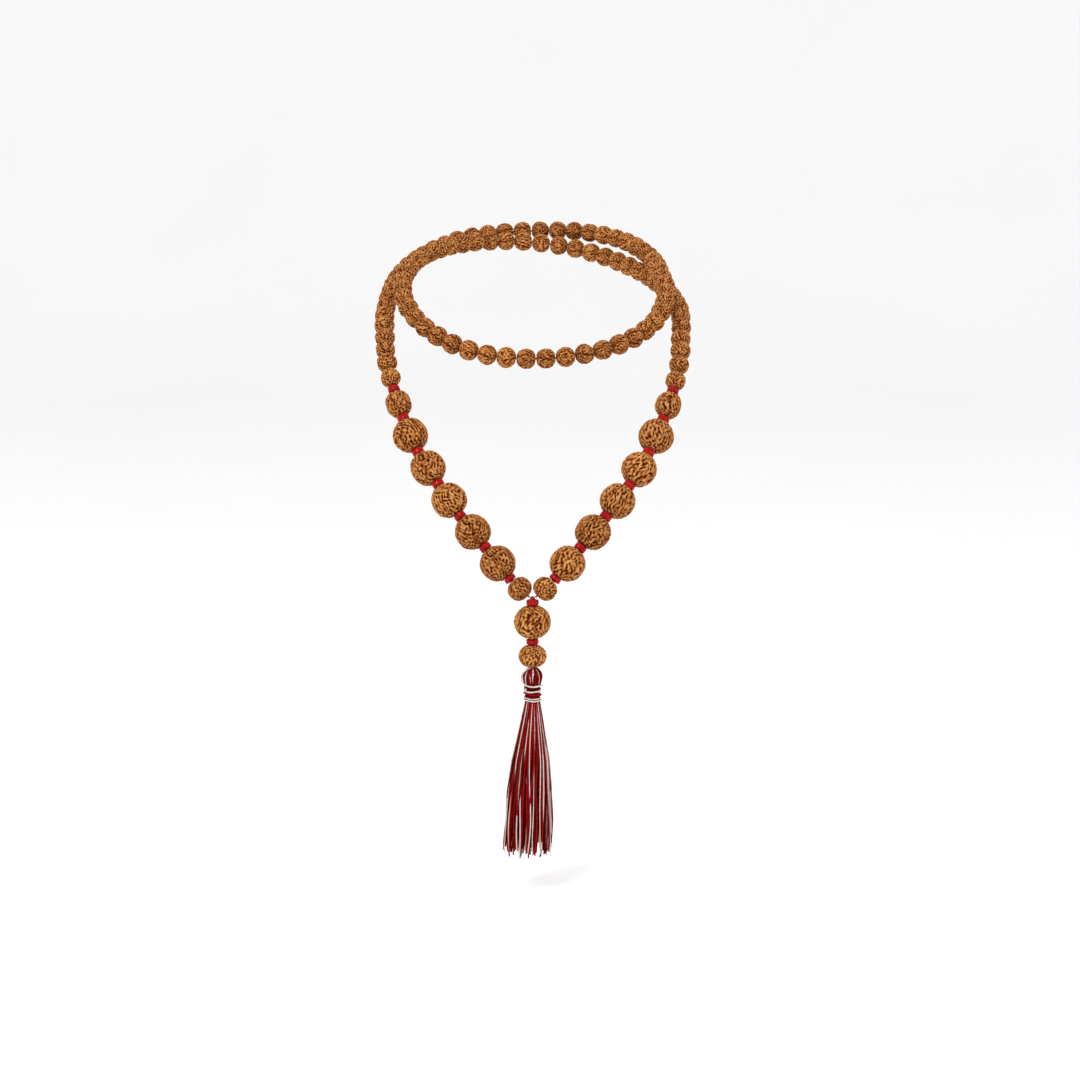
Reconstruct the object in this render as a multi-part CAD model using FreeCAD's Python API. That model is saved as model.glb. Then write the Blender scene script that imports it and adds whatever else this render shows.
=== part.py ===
import FreeCAD, Part

import math
import os

# A mala of rudraksha seeds, worn in two rounds: a close round at the base of the neck and a long
# drop on the chest, which ends in a guru bead, a cap bead and a thread tassel.
# Millimetres. +X is the wearer's left hand side as seen from the front, +Y runs from the chest to the
# nape, +Z is up. The origin is where the neck bears on the inner strand, at the nape.

# ---- driving dimensions -------------------------------------------------------------------------
CORD_DIA = 1.0
PENDANT_CORD_DIA = 1.6
KNOT_DIA = 2.6
BODY_GAP = 0.3            # clearance between pieces that move on each other
TASSEL_GAP = 0.7          # the threads' short neck between the cap bead and the tassel's head

SMALL_DIA, SMALL_LEN = 10.5, 9.7
MEDIUM_DIA, MEDIUM_LEN = 13.2, 13.8
LARGE_DIA, LARGE_LEN = 18.0, 16.8
JUNCTION_DIA, JUNCTION_LEN = 12.8, 10.4
GURU_DIA, GURU_LEN = 18.6, 16.2
CAP_DIA, CAP_LEN = 14.2, 11.1

SMALL_HOLE = 2.0
GRADED_HOLE = 2.3
GURU_HOLE = 2.4
SEED_ARC_INSET = 0.4      # least distance from a seed's axis to the centres of its outline's arcs

SPACER_DIA, SPACER_LEN = 6.3, 3.4
JUNCTION_SPACER_LEN = 2.6
TOP_SPACER_LEN = 3.0
CAP_SPACER_LEN = 3.0
SPACER_EDGE = 0.9
SPACER_MOUTH = 3.9

HEAD_DIA, HEAD_LEN = 9.8, 8.4
BINDING_DIA, BINDING_LEN = 9.2, 8.0
SKIRT_LEN = 80.4

UPPER_BEADS = 86          # small seeds of the close round and of both strands behind the neck
DROP_SMALL_BEADS = 4      # small seeds on each side of the drop, below the shoulder seed
LARGE_PER_SIDE = 5
SEEDS_PER_GROUP = 8

# ---- routes of the cords ------------------------------------------------------------------------
# The upper cord leaves the left shoulder seed, passes behind the neck to the right, comes round the
# front of the neck from right to left, and passes behind the neck again to the right shoulder seed.
UPPER_ROUTE = [
    (-77.5, -122.5, -41.5),
    (-78.5, -112, -35),
    (-77, -90, -26),
    (-73.5, -54, -15),
    (-58, -18, -4),
    (-34, 7.5, 4),
    (0, 17, 6),
    (31, 5, 6),
    (54, -20, 1),
    (65.5, -52, -7),
    (68, -79, -13),
    (71.5, -106, -22),
    (65, -132, -36),
    (48.5, -151, -45.5),
    (26, -162.5, -51),
    (0, -166.5, -53),
    (-26, -163, -51),
    (-48.5, -151, -43.5),
    (-65, -131, -31),
    (-70, -105, -18),
    (-66, -77, -9.5),
    (-60, -50, -5),
    (-47, -24, -1),
    (-26, -2, 1),
    (0, 7, 0),
    (27, 1, -4),
    (51, -20, -11),
    (69, -52, -20),
    (77, -90, -28.5),
    (78.5, -112, -36),
    (77.5, -122.5, -42),
]
# Each drop cord runs from its shoulder seed down to the knot over the guru bead.
DROP_LEFT_ROUTE = [
    (-77.3, -123.2, -42),
    (-77, -131, -46.5),
    (-75.5, -145.5, -57),
    (-68.5, -161, -77),
    (-61, -173, -95),
    (-49.5, -184, -112),
    (-38, -193, -128),
    (-24, -201, -144),
    (-12, -206.6, -158.9),
    (-5.4, -209.1, -165.4),
    (-1.4, -209.8, -168.3),
]
DROP_RIGHT_ROUTE = [
    (77.3, -123.2, -42.5),
    (77, -131, -47),
    (76, -145.5, -57.5),
    (69.5, -161, -77.5),
    (61.5, -173, -95),
    (51.5, -184, -112),
    (38.5, -193, -128),
    (24.5, -201, -144),
    (12, -206.6, -158.9),
    (5.4, -209.1, -165.4),
    (1.4, -209.8, -168.3),
]
KNOT_CENTRE = (0, -210, -169)


def vec(point):
    return FreeCAD.Vector(*point)


class CordPath:
    """Straight runs joined by tangent arcs along a route, measured by length."""

    def __init__(self, name, route):
        self.name = name
        self.edges = []
        self.radii = []
        points = [vec(p) for p in route]
        start = points[0]
        for before, corner, after in zip(points, points[1:], points[2:]):
            into = corner - before
            out = after - corner
            half_turn = into.getAngle(out) / 2
            trim = 0.45 * min(into.Length, out.Length)
            radius = trim / math.tan(half_turn)
            into.normalize()
            out.normalize()
            arc_start = corner - into * trim
            arc_end = corner + out * trim
            inward = out - into
            inward.normalize()
            middle = corner + inward * (radius / math.cos(half_turn) - radius)
            self.edges.append(Part.LineSegment(start, arc_start).toShape())
            self.edges.append(Part.Arc(arc_start, middle, arc_end).toShape())
            self.radii.append(radius)
            start = arc_end
        self.edges.append(Part.LineSegment(start, points[-1]).toShape())
        self.wire = Part.Wire(self.edges)
        self.length = sum(edge.Length for edge in self.edges)

    def point(self, s):
        """The point at length s; beyond an end, on the end's tangent."""
        if s <= 0:
            edge = self.edges[0]
            return edge.valueAt(edge.FirstParameter) + self.tangent(0) * s
        for edge in self.edges:
            if s <= edge.Length:
                return edge.valueAt(edge.getParameterByLength(s))
            s -= edge.Length
        edge = self.edges[-1]
        return edge.valueAt(edge.LastParameter) + edge.tangentAt(edge.LastParameter) * s

    def tangent(self, s):
        for edge in self.edges:
            if s <= edge.Length:
                return edge.tangentAt(edge.getParameterByLength(max(s, 0)))
            s -= edge.Length
        edge = self.edges[-1]
        return edge.tangentAt(edge.LastParameter)

    def tube(self, diameter):
        first = self.edges[0]
        circle = Part.makeCircle(diameter / 2, first.valueAt(first.FirstParameter), self.tangent(0))
        return self.wire.makePipeShell([Part.Wire([circle])], True, False)

    def seat(self, shape, s, length):
        """Put a piece that is made round +Z on the cord, its middle at s."""
        low = self.point(s - length / 2)
        high = self.point(s + length / 2)
        middle = ((low + high) * 0.5 + self.point(s)) * 0.5
        turn = FreeCAD.Rotation(FreeCAD.Vector(0, 0, 1), high - low)
        seated = shape.copy()
        seated.Placement = FreeCAD.Placement(middle, turn)
        return seated


# ---- pieces, each made round +Z with its middle at the origin -------------------------------------
def turned(edges):
    wire = Part.Wire(edges)
    solid = Part.Face(wire).revolve(FreeCAD.Vector(0, 0, 0), FreeCAD.Vector(0, 0, 1), 360)
    return Part.Solid(solid.Shells[0]) if solid.ShapeType != "Solid" else solid


def line(a, b):
    return Part.LineSegment(FreeCAD.Vector(a[0], 0, a[1]), FreeCAD.Vector(b[0], 0, b[1])).toShape()


def arc(a, b, c):
    points = [FreeCAD.Vector(r, 0, z) for r, z in (a, b, c)]
    return Part.Arc(*points).toShape()


def seed(diameter, length, hole):
    """A rounded seed, bored from pole to pole: one arc from pole to pole if it is squat, and otherwise
    two arcs with a narrow straight belt between them."""
    bore = hole / 2
    pole = diameter * 0.19
    half = length / 2
    wide = diameter / 2
    inset = (wide ** 2 - pole ** 2 - half ** 2) / (2 * (wide - pole))
    if inset >= SEED_ARC_INSET:
        outline = [arc((pole, -half), (wide, 0), (pole, half))]
    else:
        radius = wide - SEED_ARC_INSET
        belt = half - math.sqrt(radius ** 2 - (pole - SEED_ARC_INSET) ** 2)
        lean = math.atan2(half - belt, pole - SEED_ARC_INSET) / 2
        r, z = SEED_ARC_INSET + radius * math.cos(lean), belt + radius * math.sin(lean)
        outline = [
            arc((pole, -half), (r, -z), (wide, -belt)),
            line((wide, -belt), (wide, belt)),
            arc((wide, belt), (r, z), (pole, half)),
        ]
    return turned([line((bore, -half), (pole, -half))] + outline + [
        line((pole, half), (bore, half)),
        line((bore, half), (bore, -half)),
    ])


def spacer(length, mouth=0):
    """A short glass bead with rounded rims; mouth widens the upper end of its bore."""
    bore = GRADED_HOLE / 2
    half = length / 2
    outer = SPACER_DIA / 2
    edge = SPACER_EDGE
    in_edge = edge * (1 - math.sqrt(0.5))
    top = max(mouth / 2, bore)
    rim = [line((bore, half), (bore, -half))]
    if mouth:
        rim = [
            line((top, half), (bore, half - 1.3)),
            line((bore, half - 1.3), (bore, -half)),
        ]
    return turned([
        line((bore, -half), (outer - edge, -half)),
        arc((outer - edge, -half), (outer - in_edge, -half + in_edge), (outer, -half + edge)),
        line((outer, -half + edge), (outer, half - edge)),
        arc((outer, half - edge), (outer - in_edge, half - in_edge), (outer - edge, half)),
        line((outer - edge, half), (top, half)),
    ] + rim)


def tassel_head():
    """The round bulb of folded threads over the binding."""
    half, wide = HEAD_LEN / 2, HEAD_DIA / 2
    shares = [(0.69, -1), (0.88, -0.71), (0.98, -0.38), (1, -0.07), (0.96, 0.29), (0.84, 0.62),
              (0.61, 0.86), (0.2, 1)]
    outline = [(wide * r, half * z) for r, z in shares]
    edges = [line(a, b) for a, b in zip(outline, outline[1:])]
    edges.append(line(outline[-1], (0, half)))
    edges.append(line((0, half), (0, -half)))
    edges.append(line((0, -half), outline[0]))
    return turned(edges)


def tassel_binding():
    half = BINDING_LEN / 2
    return turned([
        line((0, -half), (3.7, -half)),
        arc((3.7, -half), (BINDING_DIA / 2, 0), (3.7, half)),
        line((3.7, half), (0, half)),
        line((0, half), (0, -half)),
    ])


def tassel_skirt():
    """The skirt of threads, its top at z = 0, spreading as it falls."""
    outline = [(3.8, 0), (6.9, -16), (10, -31), (11.7, -46), (12.6, -62), (12.6, -SKIRT_LEN)]
    edges = [line(a, b) for a, b in zip(outline, outline[1:])]
    edges.append(line(outline[-1], (0, -SKIRT_LEN)))
    edges.append(line((0, -SKIRT_LEN), (0, 0)))
    edges.append(line((0, 0), outline[0]))
    return turned(edges)


def at(shape, point):
    placed = shape.copy()
    placed.Placement = FreeCAD.Placement(vec(point), FreeCAD.Rotation())
    return placed


# ---- assembly -------------------------------------------------------------------------------------
def upper_beads(path):
    """Small seeds evenly along the upper cord, the first and last on the shoulders."""
    piece = seed(SMALL_DIA, SMALL_LEN, SMALL_HOLE)
    first = SMALL_LEN / 2
    pitch = (path.length - 2 * first) / (UPPER_BEADS - 1)
    print("upper cord: seeds every %.3f mm, each %.1f mm long" % (pitch, SMALL_LEN))
    return [path.seat(piece, first + k * pitch, SMALL_LEN) for k in range(UPPER_BEADS)]


def drop_pieces(path, side):
    """The graded seeds and spacers of one side of the drop, laid from the knot upwards."""
    nodes = {}
    s = path.length - 1.3
    pieces = [("junction_bead_" + side, seed(JUNCTION_DIA, JUNCTION_LEN, GRADED_HOLE), JUNCTION_LEN)]
    glass = spacer(SPACER_LEN)
    large = seed(LARGE_DIA, LARGE_LEN, GRADED_HOLE)
    short = spacer(JUNCTION_SPACER_LEN)
    for number in range(LARGE_PER_SIDE, 0, -1):
        name = "spacer_%s_%d" % (side, number + 2)
        pieces.append((name, short, JUNCTION_SPACER_LEN) if number == LARGE_PER_SIDE
                      else (name, glass, SPACER_LEN))
        pieces.append(("large_bead_%s_%d" % (side, number), large, LARGE_LEN))
    pieces.append(("spacer_%s_2" % side, glass, SPACER_LEN))
    pieces.append(("medium_bead_" + side, seed(MEDIUM_DIA, MEDIUM_LEN, GRADED_HOLE), MEDIUM_LEN))
    pieces.append(("spacer_%s_1" % side, glass, SPACER_LEN))
    for name, shape, length in pieces:
        nodes[name] = path.seat(shape, s - length / 2, length)
        s -= length + (2 * BODY_GAP if length == JUNCTION_LEN else BODY_GAP)
    small = seed(SMALL_DIA, SMALL_LEN, SMALL_HOLE)
    pitch = (s + BODY_GAP) / DROP_SMALL_BEADS
    print("drop %s: small seeds every %.3f mm" % (side, pitch))
    seeds = [path.seat(small, pitch * (k + 0.5), SMALL_LEN) for k in range(DROP_SMALL_BEADS)]
    nodes["drop_beads_" + side] = Part.makeCompound(seeds)
    return nodes


def pendant_pieces():
    """The guru bead, its spacers, the cap bead and the tassel, hanging in one plumb line."""
    nodes = {}
    x, y, z = KNOT_CENTRE
    z -= 0.5
    stack = [
        ("spacer_guru", spacer(TOP_SPACER_LEN, SPACER_MOUTH), TOP_SPACER_LEN),
        ("guru_bead", seed(GURU_DIA, GURU_LEN, GURU_HOLE), GURU_LEN),
        ("spacer_cap", spacer(CAP_SPACER_LEN), CAP_SPACER_LEN),
        ("cap_bead", seed(CAP_DIA, CAP_LEN, GURU_HOLE), CAP_LEN),
        ("tassel_head", tassel_head(), HEAD_LEN),
    ]
    for name, shape, length in stack:
        nodes[name] = at(shape, (x, y, z - length / 2))
        print("%s: z %.2f to %.2f" % (name, z, z - length))
        z -= length + (TASSEL_GAP if name == "cap_bead" else BODY_GAP)
    z += BODY_GAP
    nodes["tassel_binding"] = at(tassel_binding(), (x, y, z - BINDING_LEN / 2))
    z -= BINDING_LEN
    nodes["tassel_skirt"] = at(tassel_skirt(), (x, y, z))
    top = KNOT_CENTRE[2] - KNOT_DIA / 2 - 0.5
    low = nodes["cap_bead"].BoundBox.ZMin
    cord = Part.makeCylinder(PENDANT_CORD_DIA / 2, top - low, FreeCAD.Vector(x, y, low))
    nodes["pendant_cord"] = cord
    return nodes


def main():
    os.makedirs("parts", exist_ok=True)
    upper = CordPath("upper", UPPER_ROUTE)
    drop_left = CordPath("drop_left", DROP_LEFT_ROUTE)
    drop_right = CordPath("drop_right", DROP_RIGHT_ROUTE)
    nodes = {}
    for path in (upper, drop_left, drop_right):
        tube = path.tube(CORD_DIA)
        expected = math.pi * CORD_DIA ** 2 / 4 * path.length
        print("%s cord: %.1f mm, volume %.1f of %.1f, radii %s" % (
            path.name, path.length, tube.Volume, expected, " ".join("%.1f" % r for r in path.radii)))
        nodes["cord_" + path.name] = tube
    beads = upper_beads(upper)
    for first in range(0, UPPER_BEADS, SEEDS_PER_GROUP):
        name = "strand_beads_%02d" % (first // SEEDS_PER_GROUP + 1)
        nodes[name] = Part.makeCompound(beads[first:first + SEEDS_PER_GROUP])
    nodes.update(drop_pieces(drop_left, "left"))
    nodes.update(drop_pieces(drop_right, "right"))
    nodes["junction_knot"] = at(Part.makeSphere(KNOT_DIA / 2), KNOT_CENTRE)
    nodes.update(pendant_pieces())
    for name, shape in nodes.items():
        if not shape.isValid():
            raise ValueError(name + " is not a valid shape")
        shape.exportStep("parts/%s.step" % name)
    print(len(nodes), "nodes")


main()
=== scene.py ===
"""Looks of the worn mala: seeds, glass spacers, cords, tassel, floor, light and camera."""
import math

import bpy
import numpy as np
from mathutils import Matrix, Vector


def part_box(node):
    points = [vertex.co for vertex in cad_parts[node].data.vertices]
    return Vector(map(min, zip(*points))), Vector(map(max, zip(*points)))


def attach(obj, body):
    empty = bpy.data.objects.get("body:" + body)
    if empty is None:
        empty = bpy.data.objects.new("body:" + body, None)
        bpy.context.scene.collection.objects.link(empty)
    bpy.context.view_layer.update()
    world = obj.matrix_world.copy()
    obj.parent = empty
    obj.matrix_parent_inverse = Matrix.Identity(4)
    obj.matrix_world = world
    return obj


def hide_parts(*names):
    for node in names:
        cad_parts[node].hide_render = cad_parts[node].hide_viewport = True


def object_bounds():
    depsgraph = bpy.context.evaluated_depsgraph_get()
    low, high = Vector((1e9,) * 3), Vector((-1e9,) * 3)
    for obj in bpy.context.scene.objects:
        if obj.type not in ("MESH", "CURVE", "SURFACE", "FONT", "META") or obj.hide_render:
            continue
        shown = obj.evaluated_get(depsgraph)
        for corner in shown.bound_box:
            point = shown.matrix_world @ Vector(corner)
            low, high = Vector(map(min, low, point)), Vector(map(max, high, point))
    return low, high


MM = 0.001
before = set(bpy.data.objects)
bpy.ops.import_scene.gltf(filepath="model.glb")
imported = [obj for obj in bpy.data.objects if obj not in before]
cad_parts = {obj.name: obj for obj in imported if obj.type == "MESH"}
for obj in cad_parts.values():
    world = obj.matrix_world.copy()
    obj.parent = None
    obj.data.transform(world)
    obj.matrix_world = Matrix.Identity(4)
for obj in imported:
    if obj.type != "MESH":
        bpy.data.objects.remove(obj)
cad_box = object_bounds()

# ---- driving dimensions, in metres --------------------------------------------------------------
CORD_DIA = 1.0 * MM
SMALL = {"diameter": 10.5 * MM, "length": 9.7 * MM, "bore": 2.0 * MM}
MEDIUM = {"diameter": 13.2 * MM, "length": 13.8 * MM, "bore": 2.3 * MM}
LARGE = {"diameter": 18.0 * MM, "length": 16.8 * MM, "bore": 2.3 * MM}
JUNCTION = {"diameter": 12.8 * MM, "length": 10.4 * MM, "bore": 2.3 * MM}
GURU = {"diameter": 18.6 * MM, "length": 16.2 * MM, "bore": 2.4 * MM}
CAP = {"diameter": 14.2 * MM, "length": 11.1 * MM, "bore": 2.4 * MM}
SPACER_DIA, SPACER_BORE = 6.3 * MM, 2.3 * MM
UPPER_BEADS = 86
SEEDS_PER_GROUP = 8
DROP_SMALL_BEADS = 4
LARGE_PER_SIDE = 5
ARC_INSET = 0.4 * MM
SPACER_LEN = 3.4 * MM
OTHER_SPACERS = {"spacer_guru": 3.0 * MM, "spacer_cap": 3.0 * MM,
                 "spacer_left_7": 2.6 * MM, "spacer_right_7": 2.6 * MM}

# ---- fineness of the meshes, and where each kind's random draws start ---------------------------
SMALL_GRID, MIDDLE_GRID, LARGE_GRID = (72, 144), (96, 192), (120, 240)
LARGE_GRID_ABOVE = 13 * MM
SMALL_VARIANTS = 8
DRAWS = {"small_shape": 20, "strand": 100, "drop": 200, "graded": 300, "guru": 351, "cap": 352,
         "spacer": 400, "spacer_guru": 451, "spacer_cap": 452, "turn_and_tone": 500, "tassel": 7}
DRAWS_PER_SIDE = 20

# ---- routes of the cords, as in the part's source, in metres ------------------------------------
UPPER_ROUTE = [
    (-0.0775, -0.1225, -0.0415), (-0.0785, -0.112, -0.035), (-0.077, -0.09, -0.026),
    (-0.0735, -0.054, -0.015), (-0.058, -0.018, -0.004), (-0.034, 0.0075, 0.004),
    (0, 0.017, 0.006), (0.031, 0.005, 0.006), (0.054, -0.02, 0.001),
    (0.0655, -0.052, -0.007), (0.068, -0.079, -0.013), (0.0715, -0.106, -0.022),
    (0.065, -0.132, -0.036), (0.0485, -0.151, -0.0455), (0.026, -0.1625, -0.051),
    (0, -0.1665, -0.053), (-0.026, -0.163, -0.051), (-0.0485, -0.151, -0.0435),
    (-0.065, -0.131, -0.031), (-0.07, -0.105, -0.018), (-0.066, -0.077, -0.0095),
    (-0.06, -0.05, -0.005), (-0.047, -0.024, -0.001), (-0.026, -0.002, 0.001),
    (0, 0.007, 0), (0.027, 0.001, -0.004), (0.051, -0.02, -0.011),
    (0.069, -0.052, -0.02), (0.077, -0.09, -0.0285), (0.0785, -0.112, -0.036),
    (0.0775, -0.1225, -0.042),
]
DROP_ROUTES = {
    "left": [
        (-0.0773, -0.1232, -0.042), (-0.077, -0.131, -0.0465), (-0.0755, -0.1455, -0.057),
        (-0.0685, -0.161, -0.077), (-0.061, -0.173, -0.095), (-0.0495, -0.184, -0.112),
        (-0.038, -0.193, -0.128), (-0.024, -0.201, -0.144), (-0.012, -0.2066, -0.1589),
        (-0.0054, -0.2091, -0.1654), (-0.0014, -0.2098, -0.1683),
    ],
    "right": [
        (0.0773, -0.1232, -0.0425), (0.077, -0.131, -0.047), (0.076, -0.1455, -0.0575),
        (0.0695, -0.161, -0.0775), (0.0615, -0.173, -0.095), (0.0515, -0.184, -0.112),
        (0.0385, -0.193, -0.128), (0.0245, -0.201, -0.144), (0.012, -0.2066, -0.1589),
        (0.0054, -0.2091, -0.1654), (0.0014, -0.2098, -0.1683),
    ],
}


def phase(rng, count=None):
    """A random start for a wave, in radians."""
    return rng.uniform(0, 6, count)


# ---- materials ----------------------------------------------------------------------------------
class Shader:
    """A Principled material that is built up node by node."""

    def __init__(self, name, **sockets):
        self.material = bpy.data.materials.new(name)
        self.material.use_nodes = True
        self.tree = self.material.node_tree
        self.bsdf = self.tree.nodes["Principled BSDF"]
        for socket, value in sockets.items():
            self.bsdf.inputs[socket.replace("_", " ")].default_value = value

    def node(self, kind, inputs=None, **settings):
        made = self.tree.nodes.new("ShaderNode" + kind)
        for key, value in settings.items():
            setattr(made, key, value)
        for key, value in (inputs or {}).items():
            if isinstance(value, bpy.types.NodeSocket):
                self.tree.links.new(value, made.inputs[key])
            else:
                made.inputs[key].default_value = value
        return made

    def attribute(self, name):
        return self.node("Attribute", attribute_name=name).outputs["Fac"]

    def noise(self, scale, detail=3.0, roughness=0.5):
        where = self.node("TexCoord").outputs["Object"]
        return self.node("TexNoise", {"Vector": where, "Scale": scale, "Detail": detail,
                                      "Roughness": roughness}).outputs["Fac"]

    def ramp(self, factor, stops):
        made = self.node("ValToRGB", {"Fac": factor})
        elements = made.color_ramp.elements
        while len(elements) < len(stops):
            elements.new(0.5)
        for element, (place, colour) in zip(elements, stops):
            element.position = place
            element.color = (*colour, 1)
        return made.outputs["Color"]

    def mix(self, factor, a, b, blend="MIX"):
        made = self.node("Mix", data_type="RGBA", blend_type=blend)
        for index, value in ((0, factor), (6, a), (7, b)):
            if isinstance(value, bpy.types.NodeSocket):
                self.tree.links.new(value, made.inputs[index])
            else:
                made.inputs[index].default_value = (*value, 1) if index else value
        return made.outputs[2]

    def span(self, factor, low, high):
        made = self.node("MapRange", {"Value": factor, "To Min": low, "To Max": high})
        return made.outputs["Result"]

    def bump(self, height, strength, distance):
        made = self.node("Bump", {"Height": height, "Strength": strength, "Distance": distance})
        self.link(made.outputs["Normal"], "Normal")

    def link(self, output, socket):
        self.tree.links.new(output, self.bsdf.inputs[socket])


def seed_material():
    """Rudraksha: tan ridges, paler on top partly from wear and partly as a painted highlight,
    red-brown flanks, and clefts turned near-black by painted shade.
    """
    s = Shader("rudraksha_seed", Specular_IOR_Level=0.10)
    relief = s.attribute("relief")
    # painted shade and highlight: relief darkens the colour to near-black in clefts, furrows and on
    # the bore wall, and lightens it on the ridge tops
    body = s.ramp(relief, [
        (0.0, (0.050, 0.007, 0.001)),
        (0.28, (0.125, 0.024, 0.002)),
        (0.56, (0.235, 0.068, 0.010)),
        (0.84, (0.36, 0.134, 0.030)),
        (1.0, (0.52, 0.240, 0.078)),
    ])
    patches = s.ramp(s.noise(420, 3), [
        (0.3, (0.76, 0.66, 0.55)),
        (0.55, (1.0, 0.98, 0.95)),
        (0.8, (1.12, 1.14, 1.16)),
    ])
    tone = s.ramp(s.attribute("tone"), [
        (0.0, (0.84, 0.78, 0.74)),
        (0.5, (1.0, 1.0, 1.0)),
        (1.0, (1.10, 1.12, 1.12)),
    ])
    tinted = s.mix(0.75, body, patches, "MULTIPLY")
    s.link(s.mix(1.0, tinted, tone, "MULTIPLY"), "Base Color")
    s.link(s.span(relief, 0.95, 0.55), "Roughness")
    s.bump(s.noise(2600, 4, 0.6), 0.35, 0.00012)
    return s.material


def glass_material():
    """Smooth deep red glass, with slow and faint changes of depth."""
    s = Shader("red_glass", Roughness=0.14, IOR=1.45, Specular_IOR_Level=0.16)
    s.link(s.ramp(s.noise(330, 1), [
        (0.3, (0.25, 0.0008, 0.0008)),
        (0.55, (0.34, 0.001, 0.001)),
        (0.8, (0.46, 0.002, 0.002)),
    ]), "Base Color")
    s.bump(s.noise(400, 1), 0.04, 0.0002)
    return s.material


def thread_material():
    """Cotton thread, coloured by the dye and the painted shade between plies that each thread
    carries.
    """
    s = Shader("tassel_thread", Roughness=0.9, Specular_IOR_Level=0.05)
    dye = s.node("Attribute", attribute_name="dye").outputs["Color"]
    shade = s.ramp(s.noise(700, 4, 0.6), [
        (0.3, (0.70, 0.68, 0.68)),
        (0.7, (1.1, 1.1, 1.1)),
    ])
    s.link(s.mix(1.0, dye, shade, "MULTIPLY"), "Base Color")
    s.bump(s.noise(4200, 3, 0.6), 0.5, 0.0001)
    return s.material


def cord_material():
    """Dull red braided cord."""
    s = Shader("stringing_cord", Roughness=0.8, Sheen_Weight=0.2)
    s.link(s.ramp(s.noise(1500, 3), [
        (0.3, (0.22, 0.004, 0.005)),
        (0.7, (0.42, 0.010, 0.010)),
    ]), "Base Color")
    s.bump(s.noise(3000, 2), 0.5, 0.00015)
    return s.material


SEED, GLASS = seed_material(), glass_material()
THREAD, CORD = thread_material(), cord_material()


# ---- meshes from arrays -------------------------------------------------------------------------
def wrapped_quads(rows, columns, close_rows):
    """Quads of a grid that closes round its columns, and round its rows where close_rows."""
    last = rows if close_rows else rows - 1
    i, j = np.meshgrid(np.arange(last), np.arange(columns), indexing="ij")
    i2, j2 = (i + 1) % rows, (j + 1) % columns
    corners = [i * columns + j, i * columns + j2, i2 * columns + j2, i2 * columns + j]
    return np.stack(corners, -1).reshape(-1, 4)


class Surface:
    """Grids of vertices gathered into one mesh object, each with its own attribute values."""

    def __init__(self):
        self.points, self.quads, self.fans, self.values = [], [], [], {}
        self.count = 0

    def add(self, grid, close_rows=False, caps=False, **values):
        rows, columns = grid.shape[:2]
        self.quads.append(wrapped_quads(rows, columns, close_rows) + self.count)
        if caps:
            first = np.arange(columns) + self.count
            self.fans += [first[::-1].tolist(), (first + (rows - 1) * columns).tolist()]
        self.points.append(grid.reshape(-1, 3))
        for name, value in values.items():
            channels = (4,) if name == "dye" else ()
            filled = np.broadcast_to(np.asarray(value, float), (rows, columns) + channels)
            self.values.setdefault(name, []).append(filled.reshape(rows * columns, -1))
        self.count += rows * columns

    def object(self, name, material):
        points = np.concatenate(self.points)
        quads = np.concatenate(self.quads)
        mesh = bpy.data.meshes.new(name)
        corners = np.concatenate([quads.ravel()] + [np.array(f) for f in self.fans])
        sizes = np.array([4] * len(quads) + [len(f) for f in self.fans])
        starts = np.concatenate([[0], np.cumsum(sizes)[:-1]])
        mesh.vertices.add(len(points))
        mesh.vertices.foreach_set("co", points.astype(np.float32).ravel())
        mesh.loops.add(len(corners))
        mesh.loops.foreach_set("vertex_index", corners.astype(np.int32))
        mesh.polygons.add(len(sizes))
        mesh.polygons.foreach_set("loop_start", starts.astype(np.int32))
        mesh.polygons.foreach_set("use_smooth", np.ones(len(sizes), bool))
        for key, parts in self.values.items():
            data = np.concatenate(parts).astype(np.float32)
            kind, field = ("FLOAT_COLOR", "color") if key == "dye" else ("FLOAT", "value")
            mesh.attributes.new(key, kind, "POINT").data.foreach_set(field, data.ravel())
        mesh.update(calc_edges=True)
        mesh.materials.append(material)
        made = bpy.data.objects.new(name, mesh)
        bpy.context.scene.collection.objects.link(made)
        return made


def place(piece, body, slot, *nodes):
    """Put a piece on its body, in the place of the frame's nodes; slot is not used."""
    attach(piece, body)
    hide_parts(*nodes)


# ---- cords --------------------------------------------------------------------------------------
class Strand:
    """A stringing cord on a smooth spline, and the places along it."""

    def __init__(self, name, route, body, diameter=CORD_DIA):
        curve = bpy.data.curves.new(name, "CURVE")
        curve.dimensions = "3D"
        curve.resolution_u = 16
        spline = curve.splines.new("NURBS")
        spline.points.add(len(route) - 1)
        for point, where in zip(spline.points, route):
            point.co = (*where, 1)
        spline.order_u = 3
        spline.use_endpoint_u = True
        cord = bpy.data.objects.new(name, curve)
        bpy.context.scene.collection.objects.link(cord)
        line = bpy.data.meshes.new_from_object(cord)
        self.points = np.array([v.co for v in line.vertices])
        bpy.data.meshes.remove(line)
        steps = np.linalg.norm(np.diff(self.points, axis=0), axis=1)
        self.along = np.concatenate([[0], np.cumsum(steps)])
        self.length = self.along[-1]
        curve.bevel_depth = diameter / 2
        curve.bevel_resolution = 3
        curve.use_fill_caps = True
        curve.materials.append(CORD)
        place(cord, body, "cord", name.replace("stringing", "cord"))

    def point(self, s):
        """The point at the distance s along the cord."""
        return np.array([np.interp(s, self.along, self.points[:, k]) for k in range(3)])

    def axis(self, s, reach=3 * MM):
        """The cord's direction there, taken over reach to either side."""
        ahead = self.point(min(s + reach, self.length)) - self.point(max(s - reach, 0))
        return ahead / np.linalg.norm(ahead)

    def axis_near(self, centre):
        nearest = np.linalg.norm(self.points - centre, axis=1).argmin()
        return self.axis(self.along[nearest])


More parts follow.
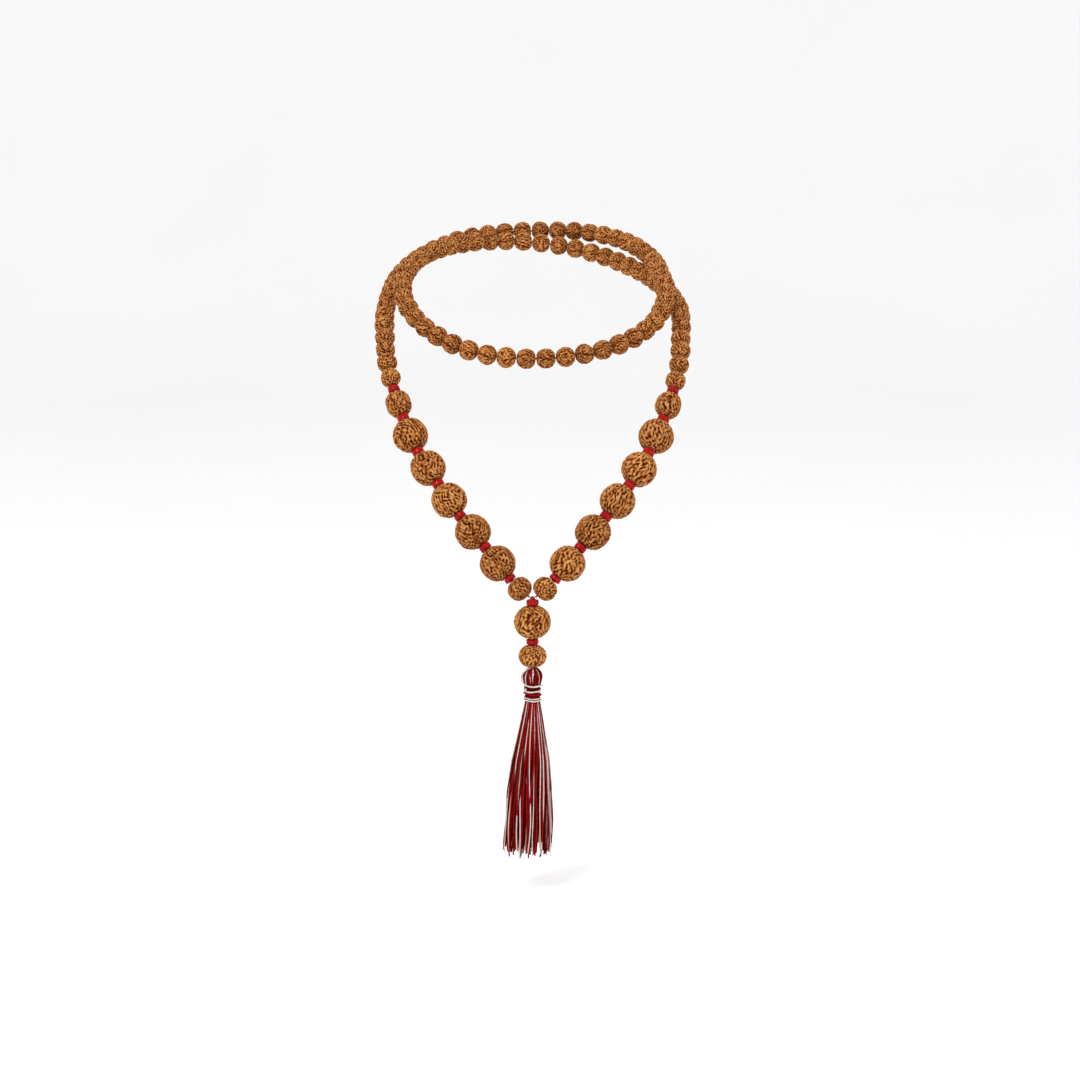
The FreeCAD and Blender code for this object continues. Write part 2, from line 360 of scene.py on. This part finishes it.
# ---- seeds --------------------------------------------------------------------------------------
FACES = 5
POLE_SHARE = 0.19  # radius of the flat round the bore, to the diameter
RIDGE_WIDTH, RIDGE_WIDTH_SHARE = 0.66 * MM, 0.056  # the share is of the diameter, here and below
CLEFT_DEPTH, CLEFT_DEPTH_SHARE = 0.30 * MM, 0.036
DEEPEST_SAG = 1.25
LUMP = 0.014  # height of the slow lumps, to the radius
LUMP_SETBACK = 0.004
END_FADE = 0.12  # radians over which the clefts fade at the bore
WALL_RINGS = (0.06, 0.35, 0.65, 0.94)
TINY = 1e-6


def bent(directions, rng):
    """Directions pushed about by slow waves, so that ridges wind."""
    moved = directions.copy()
    for k, (waves, push) in enumerate(((4.0, 0.07), (9.0, 0.035))):
        swapped = directions[..., [(k + 1) % 3, (k + 2) % 3, k % 3]]
        moved += push * np.sin(waves * swapped + phase(rng, 3))
    return moved / np.linalg.norm(moved, axis=-1, keepdims=True)


def winding(directions, radius, width, count, slant, rng):
    """A field of winding ridges of about this width, which run up and down where slant is low."""
    field = np.zeros(directions.shape[:-1])
    for _ in range(count):
        up = slant * rng.uniform(-1, 1)
        turn = rng.uniform(0, 2 * math.pi)
        level = math.sqrt(1 - up ** 2)
        wave = 2 * math.pi * radius / (width * rng.uniform(0.85, 1.25))
        towards = np.array([level * math.cos(turn), level * math.sin(turn), up])
        field += np.sin(wave * directions @ towards + phase(rng))
    return field / math.sqrt(count / 2)


def outline(size, side, up):
    """The smooth seed's reach from its middle, in the direction (side, up) of its half section."""
    wide, half, pole = size["diameter"] / 2, size["length"] / 2, size["diameter"] * POLE_SHARE
    inset = max((wide ** 2 - pole ** 2 - half ** 2) / (2 * (wide - pole)), ARC_INSET)
    radius = wide - inset
    belt = max(half - math.sqrt(radius ** 2 - (pole - inset) ** 2), 0)
    rise = np.abs(up)
    lean = inset * side + belt * rise
    reach = lean + np.sqrt(radius ** 2 - inset ** 2 - belt ** 2 + lean ** 2)
    reach = np.where(reach * rise < belt, wide / side, reach)
    return np.minimum(reach, half / np.maximum(rise, TINY))


def seed_grid(size, seed_number, rows, columns):
    """A seed's skin round +Z, with ridges, clefts and meridian furrows: its points and relief."""
    rng = np.random.default_rng(seed_number)
    radius = size["diameter"] / 2
    rim = math.atan2(size["bore"], size["length"])
    width = RIDGE_WIDTH + RIDGE_WIDTH_SHARE * size["diameter"]
    depth = CLEFT_DEPTH + CLEFT_DEPTH_SHARE * size["diameter"]
    polar = np.linspace(rim, math.pi - rim, rows)[:, None]
    turn = np.linspace(0, 2 * math.pi, columns, endpoint=False)[None, :]
    side, up = np.sin(polar), np.cos(polar)
    all_round = np.ones_like(turn)
    directions = np.stack([side * np.cos(turn), side * np.sin(turn), up * all_round], -1)
    reach = outline(size, side, up) * all_round

    moved = bent(directions, rng)
    ridges = winding(moved, radius, width, 26, 0.75, rng)
    ridges += 0.22 * winding(moved, radius, 0.45 * width, 16, 1.0, rng)
    cleft = np.clip((0.9 - ridges) / 2.3, 0, 1) ** 1.5
    furrow = np.zeros_like(cleft)
    for k in range(FACES):
        middle = 2 * math.pi * (k + rng.uniform(-0.15, 0.15)) / FACES
        middle = middle + 0.16 * np.sin(2.5 * polar + phase(rng)) + 0.05 * np.sin(9 * polar)
        apart = np.abs((turn - middle + math.pi) % (2 * math.pi) - math.pi) * side * radius
        share = rng.uniform(0.1, 0.55)
        furrow = np.maximum(furrow, share * np.exp(-(apart / (0.35 * width)) ** 2))
    sag = cleft + furrow

    lumps = LUMP * np.cos(FACES * turn + phase(rng))
    lumps = lumps + LUMP * np.sin(2 * turn + 3 * up + phase(rng))
    lumps = lumps + LUMP * (np.sin(11 * directions[..., 0] + phase(rng))
                            * np.sin(12 * directions[..., 1] + phase(rng)))
    ends = (np.clip((polar - rim) / END_FADE, 0, 1)
            * np.clip((math.pi - rim - polar) / END_FADE, 0, 1))
    fall = depth * np.minimum(sag, DEEPEST_SAG) * (0.25 + 0.75 * ends)
    reach = reach * (1 + (lumps - LUMP_SETBACK) * side ** 2) - fall
    # relief: 1 on ridge tops and 0 deep in clefts; the seed material turns it into painted shade in
    # the clefts and a painted highlight on the tops
    return directions * reach[..., None], np.clip(1 - sag, 0, 1)


def seed_shape(size, seed_number, rows, columns):
    """The seed's skin and its bore as one closed grid, with its relief."""
    points, relief = seed_grid(size, seed_number, rows, columns)
    bore = size["bore"] / 2
    turn = np.linspace(0, 2 * math.pi, columns, endpoint=False)
    inside = np.stack([bore * np.cos(turn), bore * np.sin(turn), np.zeros_like(turn)], 1)
    low, high = points[-1, :, 2].mean(), points[0, :, 2].mean()
    wall = np.stack([inside + (0, 0, low + (high - low) * f) for f in WALL_RINGS])
    # relief 0 on the bore wall gives it the seed's darkest colour: painted shade inside the bore
    painted_bore_shade = np.zeros((len(WALL_RINGS), columns))
    return np.concatenate([points, wall]), np.concatenate([relief, painted_bore_shade])


def turned_to(points, axis, spin):
    """Points made round +Z, spun by spin about it and then turned to axis."""
    turn = Vector((0, 0, 1)).rotation_difference(Vector(axis)).to_matrix()
    c, s = math.cos(spin), math.sin(spin)
    matrix = np.array(turn) @ np.array([[c, -s, 0], [s, c, 0], [0, 0, 1]])
    return points @ matrix.T


def node_centre(node):
    """The middle of a frame node's box."""
    low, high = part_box(node)
    return np.array((low + high) / 2)


def big_seed(node, body, size, number, axis):
    """One seed that turns on its own, in the place of its frame node."""
    grid = LARGE_GRID if size["diameter"] > LARGE_GRID_ABOVE else MIDDLE_GRID
    points, relief = seed_shape(size, number, *grid)
    rng = np.random.default_rng(number + DRAWS["turn_and_tone"])
    surface = Surface()
    surface.add(node_centre(node) + turned_to(points, axis, phase(rng)), close_rows=True,
                relief=relief, tone=rng.uniform())
    place(surface.object("seed_" + node, SEED), body, "seed", node)


SMALL_SHAPES = [seed_shape(SMALL, DRAWS["small_shape"] + k, *SMALL_GRID)
                for k in range(SMALL_VARIANTS)]


def small_seeds(name, node, body, strand, stations, number):
    """Small seeds at the stations along a strand, as one piece."""
    rng = np.random.default_rng(number)
    surface = Surface()
    for s in stations:
        points, relief = SMALL_SHAPES[rng.integers(len(SMALL_SHAPES))]
        axis = strand.axis(s) * rng.choice([-1, 1])
        scale = 1 + 0.025 * rng.uniform(-1, 1, 3)
        chord = (strand.point(s - SMALL["length"] / 2) + strand.point(s + SMALL["length"] / 2)) / 2
        middle = (chord + strand.point(s)) / 2
        surface.add(middle + turned_to(points * scale, axis, phase(rng)), close_rows=True,
                    relief=relief, tone=rng.uniform())
    place(surface.object(name, SEED), body, "seed", node)


# ---- glass spacers ------------------------------------------------------------------------------
SPACER_EDGE, BORE_EDGE = 0.9 * MM, 0.2 * MM
SPACER_COLUMNS, EDGE_RINGS = 48, 7


def spacer(node, body, axis, number):
    """A short glass bead with rounded rims, slightly out of round."""
    rng = np.random.default_rng(number)
    half = OTHER_SPACERS.get(node, SPACER_LEN) / 2
    radius, bore, edge = SPACER_DIA / 2, SPACER_BORE / 2, SPACER_EDGE
    corner = np.linspace(0, math.pi / 2, EDGE_RINGS)
    profile = [(radius - edge + edge * math.sin(a), half - edge + edge * math.cos(a))
               for a in corner]
    profile += [(r, -z) for r, z in reversed(profile)]
    profile += [(bore, -half + BORE_EDGE), (bore, 0), (bore, half - BORE_EDGE)]
    turn = np.linspace(0, 2 * math.pi, SPACER_COLUMNS, endpoint=False)
    uneven = 1 + 0.012 * np.sin(3 * turn + phase(rng))
    uneven = uneven + 0.01 * np.sin(2 * turn + phase(rng)) - 0.012
    rows = [np.stack([r * uneven * np.cos(turn), r * uneven * np.sin(turn), z + 0 * turn], 1)
            for r, z in profile]
    surface = Surface()
    surface.add(node_centre(node) + turned_to(np.array(rows), axis, 0), close_rows=True)
    place(surface.object("glass_" + node, GLASS), body, "red_glass", node)


# ---- threads ------------------------------------------------------------------------------------
RED, MAROON, WHITE = (0.30, 0.004, 0.004), (0.13, 0.002, 0.003), (0.80, 0.70, 0.62)
PLY_TWIST = 3.2 * MM
PLY_HOLLOW, PLY_RISE = 0.80, 0.20  # radius between and on top of the plies, to the thread's radius
NOT_ALONG_A_THREAD = (0.31, 0.94, 0.13)
JUST_OVER_ONE = 1.0001  # keeps the last span from running past the last point


def thread(surface, line, diameter, dye, sides=8):
    """A twisted two-ply thread along a line of points, with painted shade between its plies."""
    line = np.asarray(line)
    ahead = np.gradient(line, axis=0)
    ahead /= np.linalg.norm(ahead, axis=1, keepdims=True)
    side = np.cross(ahead, NOT_ALONG_A_THREAD)
    side /= np.linalg.norm(side, axis=1, keepdims=True)
    across = np.cross(ahead, side)
    steps = np.linalg.norm(np.diff(line, axis=0), axis=1)
    along = np.concatenate([[0], np.cumsum(steps)])
    angle = np.linspace(0, 2 * math.pi, sides, endpoint=False)[None, :]
    plies = np.abs(np.cos(angle - 2 * math.pi * along[:, None] / PLY_TWIST))
    lobes = PLY_HOLLOW + PLY_RISE * plies
    radius = diameter / 2 * lobes
    rings = (line[:, None] + side[:, None] * (radius * np.cos(angle))[..., None]
             + across[:, None] * (radius * np.sin(angle))[..., None])
    # painted shade: the colour darkens where the thread's surface sinks between the plies, and is
    # stored with the dye
    shade = 0.45 + 0.55 * (lobes - PLY_HOLLOW) / PLY_RISE
    opaque = np.ones(shade.shape + (1,))
    colour = np.concatenate([np.asarray(dye) * shade[..., None], opaque], -1)
    surface.add(rings, caps=True, dye=colour)


def smooth_line(points, count):
    """A smooth curve of count points through the given ones (Catmull-Rom)."""
    points = np.asarray(points, float)
    before, after = 2 * points[0] - points[1], 2 * points[-1] - points[-2]
    padded = np.concatenate([[before], points, [after]])
    along = np.linspace(0, len(points) - JUST_OVER_ONE, count)
    k = along.astype(int)
    f = (along - k)[:, None]
    a, b, c, d = (padded[k + n] for n in range(4))
    square, cube = 2 * a - 5 * b + 4 * c - d, 3 * b - a - 3 * c + d
    return 0.5 * (2 * b + (c - a) * f + square * f ** 2 + cube * f ** 3)


HEAD_THREADS = 28
HEAD_PALE_EVERY = 4
HEAD_SHARES = (0, 0.06, 0.16, 0.3, 0.45, 0.6, 0.75, 0.9, 1)
HEAD_RADII = (0.6, 0.9, 2.7, 4.0, 4.5, 4.5, 4.2, 3.8, 3.7)
LOOSE_THREAD = [
    (-0.8, -1.6, 4.6), (-3.2, -3.2, 4.0), (-5.0, -2.4, 1.8), (-5.5, -2.0, -0.6), (-4.9, -2.9, -2.8),
    (-3.0, -4.2, -4.0), (0.0, -5.1, -4.5), (2.8, -4.6, -4.3), (4.7, -3.0, -4.0), (5.1, -0.6, -4.3),
]


def tassel_head(rng):
    """The folded bulb, with one white thread that hangs loose round it."""
    low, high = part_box("tassel_head")
    x, y, middle = (low + high) / 2
    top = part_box("cap_bead")[0].z
    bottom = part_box("tassel_binding")[1].z - 1.0 * MM
    head = Surface()
    f = np.linspace(0, 1, 30)
    for k in range(HEAD_THREADS):
        turn = 2 * math.pi * (k + rng.uniform(-0.2, 0.2)) / HEAD_THREADS
        turn = turn + 0.12 * np.sin(3 * f + phase(rng))
        z = top + 0.5 * MM + (bottom - top) * f
        r = (np.interp(f, HEAD_SHARES, HEAD_RADII) + rng.uniform(-0.2, 0.12)) * MM
        pale = k % HEAD_PALE_EVERY == 1
        dye = WHITE if pale else (RED if rng.uniform() < 0.6 else MAROON)
        line = smooth_line(np.stack([x + r * np.cos(turn), y + r * np.sin(turn), z], 1), 44)
        thread(head, line, (0.75 if pale else 1.05) * MM, dye)
    loose = [(x + a * MM, y + b * MM, middle + c * MM) for a, b, c in LOOSE_THREAD]
    thread(head, smooth_line(loose, 90), 0.85 * MM, WHITE)
    place(head.object("tassel_head_threads", THREAD), "tassel", "tassel_thread", "tassel_head")
    return x, y


BINDING_ROWS = [WHITE, MAROON, WHITE, WHITE, RED, MAROON, WHITE, WHITE]


def tassel_binding(x, y, rng):
    """The rows wound round the neck, each a little tilted, over a solid core."""
    low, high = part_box("tassel_binding")
    binding = Surface()
    pitch = (high.z - low.z) / len(BINDING_ROWS)
    angle = np.linspace(0, 2 * math.pi, 49)
    for k, dye in enumerate(BINDING_ROWS):
        tilt = 0.6 * MM * rng.uniform(0.3, 1) * np.sin(angle + phase(rng))
        ripple = 0.14 * MM * np.sin(3 * angle + phase(rng))
        r = (4.0 + rng.uniform(-0.3, 0.3)) * MM + ripple
        z = high.z - (k + 0.5) * pitch + tilt + ripple
        line = np.stack([x + r * np.cos(angle), y + r * np.sin(angle), z], 1)
        thread(binding, line, (0.8 if dye is WHITE else 1.0) * MM, dye)
    core = np.linspace(high.z, low.z, 12)
    line = np.stack([x + 0 * core, y + 0 * core, core], 1)
    thread(binding, line, 7.0 * MM, MAROON, sides=24)
    place(binding.object("tassel_binding_wraps", THREAD), "tassel", "tassel_thread",
          "tassel_binding")


SKIRT_FALLS = np.array([0, 16, 31, 46, 62, 79]) * MM
SKIRT_RADII = np.array([3.8, 6.9, 9.8, 11.4, 12.3, 12.5]) * MM
SKIRT_LEANS = np.array([0, -0.6, -1.1, -1.8, -2.2, -2.9]) * MM
SKIRT_LAYERS = ((68, 1.0), (60, 0.80), (36, 0.5))  # threads, and radius to the outer one's


def tassel_skirt(x, y, rng):
    """Three layers of hanging threads; the outer one has most of the white ones."""
    low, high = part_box("tassel_skirt")
    f = np.linspace(0, 1, 110)
    for layer, (count, share) in enumerate(SKIRT_LAYERS):
        skirt = Surface()
        for k in range(count):
            turn = 2 * math.pi * (k + rng.uniform(-0.45, 0.45)) / count
            fall = (high.z - low.z) * rng.uniform(0.90, 0.99) * f
            share_here = share + rng.uniform(-0.09, 0.02)
            r = share_here * (np.interp(fall, SKIRT_FALLS, SKIRT_RADII) - 0.5 * MM)
            waves = [0.55 * MM * f * np.sin(f * rng.uniform(5, 12) + phase(rng)) for _ in range(2)]
            turn = turn + 0.16 * rng.uniform(-1, 1) * f + 0.05 * np.sin(6 * f + phase(rng))
            lean = np.interp(fall, SKIRT_FALLS, SKIRT_LEANS)
            line = np.stack([x + r * np.cos(turn) + waves[0] + lean,
                             y + r * np.sin(turn) + waves[1], high.z + 0.6 * MM - fall], 1)
            pale = rng.uniform() < 0.15 if layer else (k % 3 == 0 or rng.uniform() < 0.1)
            dye = WHITE if pale else (RED if rng.uniform() < 0.62 else MAROON)
            wide = rng.uniform(0.58, 0.66) if pale else rng.uniform(0.78, 0.95)
            thread(skirt, line, wide * MM, dye)
        place(skirt.object("tassel_skirt_threads_%d" % (layer + 1), THREAD), "tassel",
              "tassel_thread", "tassel_skirt")


# ---- assembly -----------------------------------------------------------------------------------
upper = Strand("stringing_upper", UPPER_ROUTE, "worn_rounds")
drops = {side: Strand("stringing_drop_" + side, route, "front_drop")
         for side, route in DROP_ROUTES.items()}

half_a_seed = SMALL["length"] / 2
stations = np.linspace(half_a_seed, upper.length - half_a_seed, UPPER_BEADS)
for group in range(0, UPPER_BEADS, SEEDS_PER_GROUP):
    number = group // SEEDS_PER_GROUP + 1
    small_seeds("seeds_strand_%02d" % number, "strand_beads_%02d" % number, "worn_rounds", upper,
                stations[group:group + SEEDS_PER_GROUP], DRAWS["strand"] + number)

HALF_SPACER_AND_GAP = 2.0 * MM
for number, (side, strand) in enumerate(drops.items()):
    on_this_side = DRAWS_PER_SIDE * number
    end = np.linalg.norm(strand.points - node_centre("spacer_%s_1" % side), axis=1).argmin()
    pitch = (strand.along[end] - HALF_SPACER_AND_GAP) / DROP_SMALL_BEADS
    small_seeds("seeds_drop_" + side, "drop_beads_" + side, "front_drop", strand,
                (np.arange(DROP_SMALL_BEADS) + 0.5) * pitch, DRAWS["drop"] + number)
    graded = [("junction_bead_" + side, JUNCTION), ("medium_bead_" + side, MEDIUM)]
    graded += [("large_bead_%s_%d" % (side, k + 1), LARGE) for k in range(LARGE_PER_SIDE)]
    for k, (node, size) in enumerate(graded):
        big_seed(node, node, size, DRAWS["graded"] + on_this_side + k,
                 strand.axis_near(node_centre(node)))
    for k in range(1, LARGE_PER_SIDE + 3):
        node = "spacer_%s_%d" % (side, k)
        spacer(node, "front_drop", strand.axis_near(node_centre(node)),
               DRAWS["spacer"] + on_this_side + k)

UPRIGHT = (0, 0, 1)
big_seed("guru_bead", "guru", GURU, DRAWS["guru"], UPRIGHT)
big_seed("cap_bead", "cap", CAP, DRAWS["cap"], UPRIGHT)
spacer("spacer_guru", "pendant", UPRIGHT, DRAWS["spacer_guru"])
spacer("spacer_cap", "pendant", UPRIGHT, DRAWS["spacer_cap"])
for node in ("pendant_cord", "junction_knot"):
    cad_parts[node].data.materials.clear()
    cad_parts[node].data.materials.append(CORD)

tassel_rng = np.random.default_rng(DRAWS["tassel"])
tassel_x, tassel_y = tassel_head(tassel_rng)
tassel_binding(tassel_x, tassel_y, tassel_rng)
tassel_skirt(tassel_x, tassel_y, tassel_rng)


# ---- floor, light and camera --------------------------------------------------------------------
def floor_material():
    """Pale paper, with a hardly visible change of tone."""
    s = Shader("pale_floor", Roughness=0.8, Specular_IOR_Level=0.2)
    tones = [(0.3, (0.93, 0.93, 0.93)), (0.7, (0.985 * 0.93, 0.985 * 0.93, 0.985 * 0.93))]
    s.link(s.ramp(s.noise(3, 2), tones), "Base Color")
    return s.material


FLOOR_Z = cad_box[0][2] - 17 * MM
FLOOR_FRONT, BEND_START, BEND_RADIUS, WALL_TOP, HALF_WIDTH = -5.0, 2.5, 1.5, 5.0, 6
sweep = [(FLOOR_FRONT, 0.0), (BEND_START, 0.0)]
sweep += [(BEND_START + BEND_RADIUS * math.sin(t), BEND_RADIUS - BEND_RADIUS * math.cos(t))
          for t in np.linspace(0, math.pi / 2, 25)[1:]]
sweep += [(BEND_START + BEND_RADIUS, WALL_TOP)]
corners = [(x, y, FLOOR_Z + z) for y, z in sweep for x in (-HALF_WIDTH, HALF_WIDTH)]
floor_mesh = bpy.data.meshes.new("floor")
strips = [(k, k + 1, k + 3, k + 2) for k in range(0, len(corners) - 2, 2)]
floor_mesh.from_pydata(corners, [], strips)
floor_mesh.polygons.foreach_set("use_smooth", [True] * len(floor_mesh.polygons))
floor = bpy.data.objects.new("floor", floor_mesh)
bpy.context.scene.collection.objects.link(floor)
floor.data.materials.append(floor_material())

world = bpy.data.worlds.new("studio")
world.use_nodes = True
background = world.node_tree.nodes["Background"]
background.inputs["Color"].default_value = (1, 1, 1, 1)
background.inputs["Strength"].default_value = 1.0
bpy.context.scene.world = world


def soft_light(name, where, aim, size, power):
    """A square lamp that faces aim."""
    lamp = bpy.data.lights.new(name, "AREA")
    lamp.size = size
    lamp.energy = power
    made = bpy.data.objects.new(name, lamp)
    made.location = where
    made.rotation_euler = (Vector(aim) - Vector(where)).to_track_quat("-Z", "Y").to_euler()
    bpy.context.scene.collection.objects.link(made)


MIDDLE = (0, -0.15, -0.12)
soft_light("key", (-0.6, -1.2, 0.9), MIDDLE, 0.4, 9)
soft_light("fill", (1.0, -1.1, 0.4), MIDDLE, 0.8, 2)
soft_light("top", (0, -0.1, 1.2), MIDDLE, 0.9, 3)

VIEW_DISTANCE, VIEW_ELEVATION, VIEW_WIDTH = 1.5, math.radians(8), 0.54
VIEW_AIM = Vector((3.75 * MM, -206 * MM, -140 * MM))
VIEW_FROM = Vector((0, -math.cos(VIEW_ELEVATION), math.sin(VIEW_ELEVATION)))
camera = bpy.data.objects.new("camera", bpy.data.cameras.new("camera"))
camera.data.lens = camera.data.sensor_width * VIEW_DISTANCE / VIEW_WIDTH
camera.location = VIEW_AIM + VIEW_DISTANCE * VIEW_FROM
camera.rotation_euler = (math.pi / 2 - VIEW_ELEVATION, 0, 0)
bpy.context.scene.collection.objects.link(camera)
bpy.context.scene.camera = camera
bpy.context.scene.view_settings.view_transform = "Standard"
